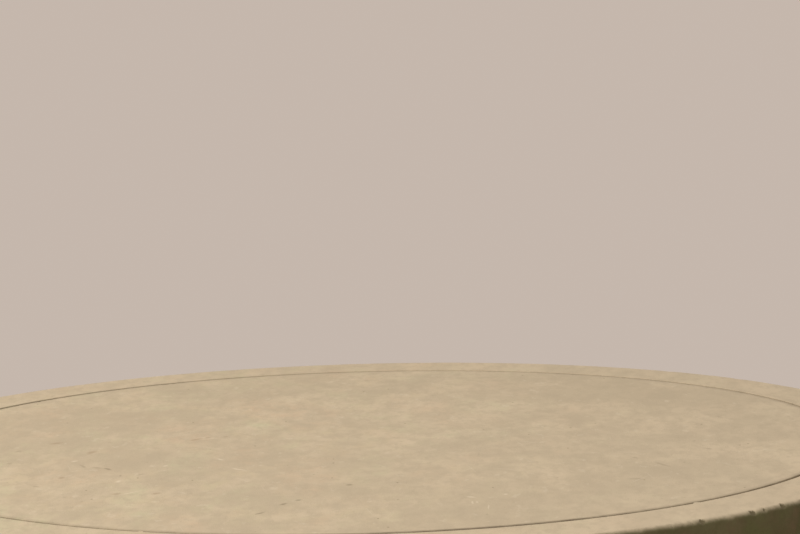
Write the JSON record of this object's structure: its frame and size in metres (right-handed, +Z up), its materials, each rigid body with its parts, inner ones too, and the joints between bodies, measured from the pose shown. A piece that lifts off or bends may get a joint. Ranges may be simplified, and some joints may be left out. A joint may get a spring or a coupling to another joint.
{
  "type": "display plinth",
  "caption": "Round display plinth: a painted plywood drum on levelling feet, with a fixed rim and a flush deck that turns inside it on a ball bearing.",
  "frame": {"origin": "on the floor, on the axis of the drum and of the turning deck", "axes": "+Z up along the deck's axis of turning; -Y is the side that faces the picture's viewer, +X is to the viewer's right"},
  "size_m": [1, 1, 0.9],
  "materials": {
    "painted_top": "cream matt emulsion on board, worn and lightly scratched",
    "painted_side": "dark olive matt paint on bent plywood",
    "plywood": "bare birch plywood",
    "pine": "planed softwood",
    "toe_paint": "black matt paint on plywood",
    "race_aluminium": "mill finish",
    "ball_steel": "polished",
    "cage_nylon": "moulded",
    "screw_steel": "zinc plated",
    "foot_steel": "zinc plated",
    "pad_plastic": "moulded, fine grain",
    "sole_rubber": "matt"
  },
  "bodies": {
    "drum": {"rim_ring": "painted_top", "rim_spacer": "plywood", "top_board": "plywood", "joist_x": "pine", "joist_y": "pine", "stud_1": "pine", "stud_2": "pine", "stud_3": "pine", "stud_4": "pine", "stud_5": "pine", "stud_6": "pine", "stud_7": "pine", "stud_8": "pine", "mid_ring": "plywood", "base_ring": "plywood", "toe_ring": "toe_paint", "skin_front": "painted_side", "skin_rear": "painted_side", "bearing_fixed_race": "race_aluminium", "fixed_race_screws": "screw_steel", "board_screws": "screw_steel", "joist_screws": "screw_steel", "rim_screws": "screw_steel", "base_screws": "screw_steel", "toe_screws": "screw_steel", "foot_inserts": "foot_steel", "foot_lock_nuts": "foot_steel"},
    "turning_deck": {"deck": "painted_top", "bearing_turning_race": "race_aluminium", "turning_race_screws": "screw_steel"},
    "ball_cage": {"bearing_balls": "ball_steel", "bearing_cage": "cage_nylon"},
    "foot_1": {"foot_stem_1": "foot_steel", "foot_pad_1": "pad_plastic", "foot_sole_1": "sole_rubber"},
    "foot_2": {"foot_stem_2": "foot_steel", "foot_pad_2": "pad_plastic", "foot_sole_2": "sole_rubber"},
    "foot_3": {"foot_stem_3": "foot_steel", "foot_pad_3": "pad_plastic", "foot_sole_3": "sole_rubber"},
    "foot_4": {"foot_stem_4": "foot_steel", "foot_pad_4": "pad_plastic", "foot_sole_4": "sole_rubber"}
  },
  "joints": [
    {"name": "deck_turn", "type": "hinge", "parent": "drum", "child": "turning_deck", "pos_m": [0, 0, 0.864], "axis": [0, 0, 1], "continuous": true},
    {"name": "cage_turn", "type": "hinge", "parent": "drum", "child": "ball_cage", "pos_m": [0, 0, 0.864], "axis": [0, 0, 1], "continuous": true},
    {"name": "foot_1_lift", "type": "slide", "parent": "drum", "child": "foot_1", "axis": [0, 0, -1], "range_m": [-0.008, 0.02]},
    {"name": "foot_2_lift", "type": "slide", "parent": "drum", "child": "foot_2", "axis": [0, 0, -1], "range_m": [-0.008, 0.02]},
    {"name": "foot_3_lift", "type": "slide", "parent": "drum", "child": "foot_3", "axis": [0, 0, -1], "range_m": [-0.008, 0.02]},
    {"name": "foot_4_lift", "type": "slide", "parent": "drum", "child": "foot_4", "axis": [0, 0, -1], "range_m": [-0.008, 0.02]}
  ],
  "couplings": [
    {"joint": "cage_turn", "follows": "deck_turn", "ratio": 0.4946}
  ]
}
